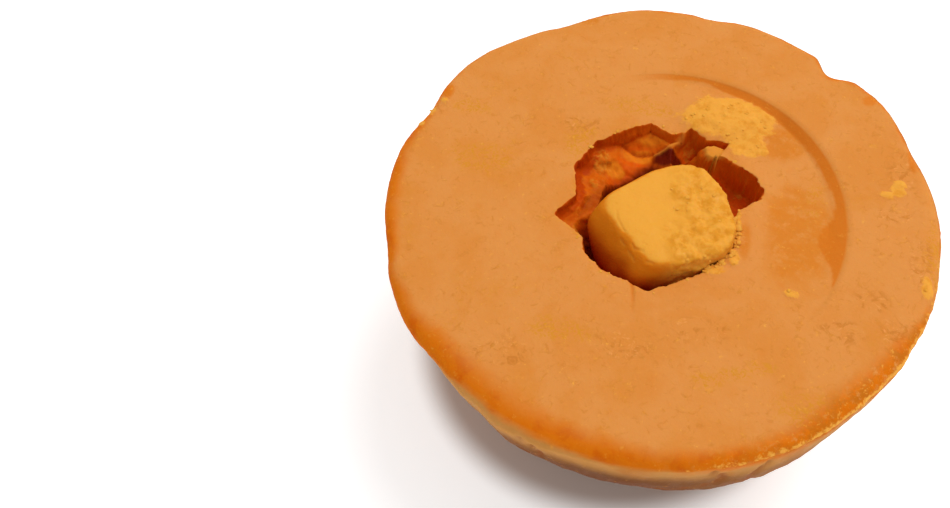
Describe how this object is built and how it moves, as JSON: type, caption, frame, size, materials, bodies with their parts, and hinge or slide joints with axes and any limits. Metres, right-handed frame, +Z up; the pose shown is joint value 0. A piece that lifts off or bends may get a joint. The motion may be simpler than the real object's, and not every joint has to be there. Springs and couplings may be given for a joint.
{
  "type": "palm jaggery half",
  "caption": "Half of a round moulded cake of palm jaggery: domed underside, flat face with a rounded rim, a sunken disc and a broken hollow that holds a paler loose chunk.",
  "frame": {"origin": "middle of the flat spot under the dome, on the surface that the half rests on", "axes": "+Z up out of the flat face, +X to the right and +Y to the back in the picture's view of the face"},
  "size_m": [0.1011, 0.1003, 0.05],
  "materials": {
    "cast_jaggery": "matt cast sugar, tan dome, orange rim, dark broken hollow",
    "pale_jaggery": "matt pale yellow crumbly sugar"
  },
  "bodies": {
    "root": {"jaggery_half": "cast_jaggery", "centre_chunk": "pale_jaggery"}
  },
  "joints": []
}
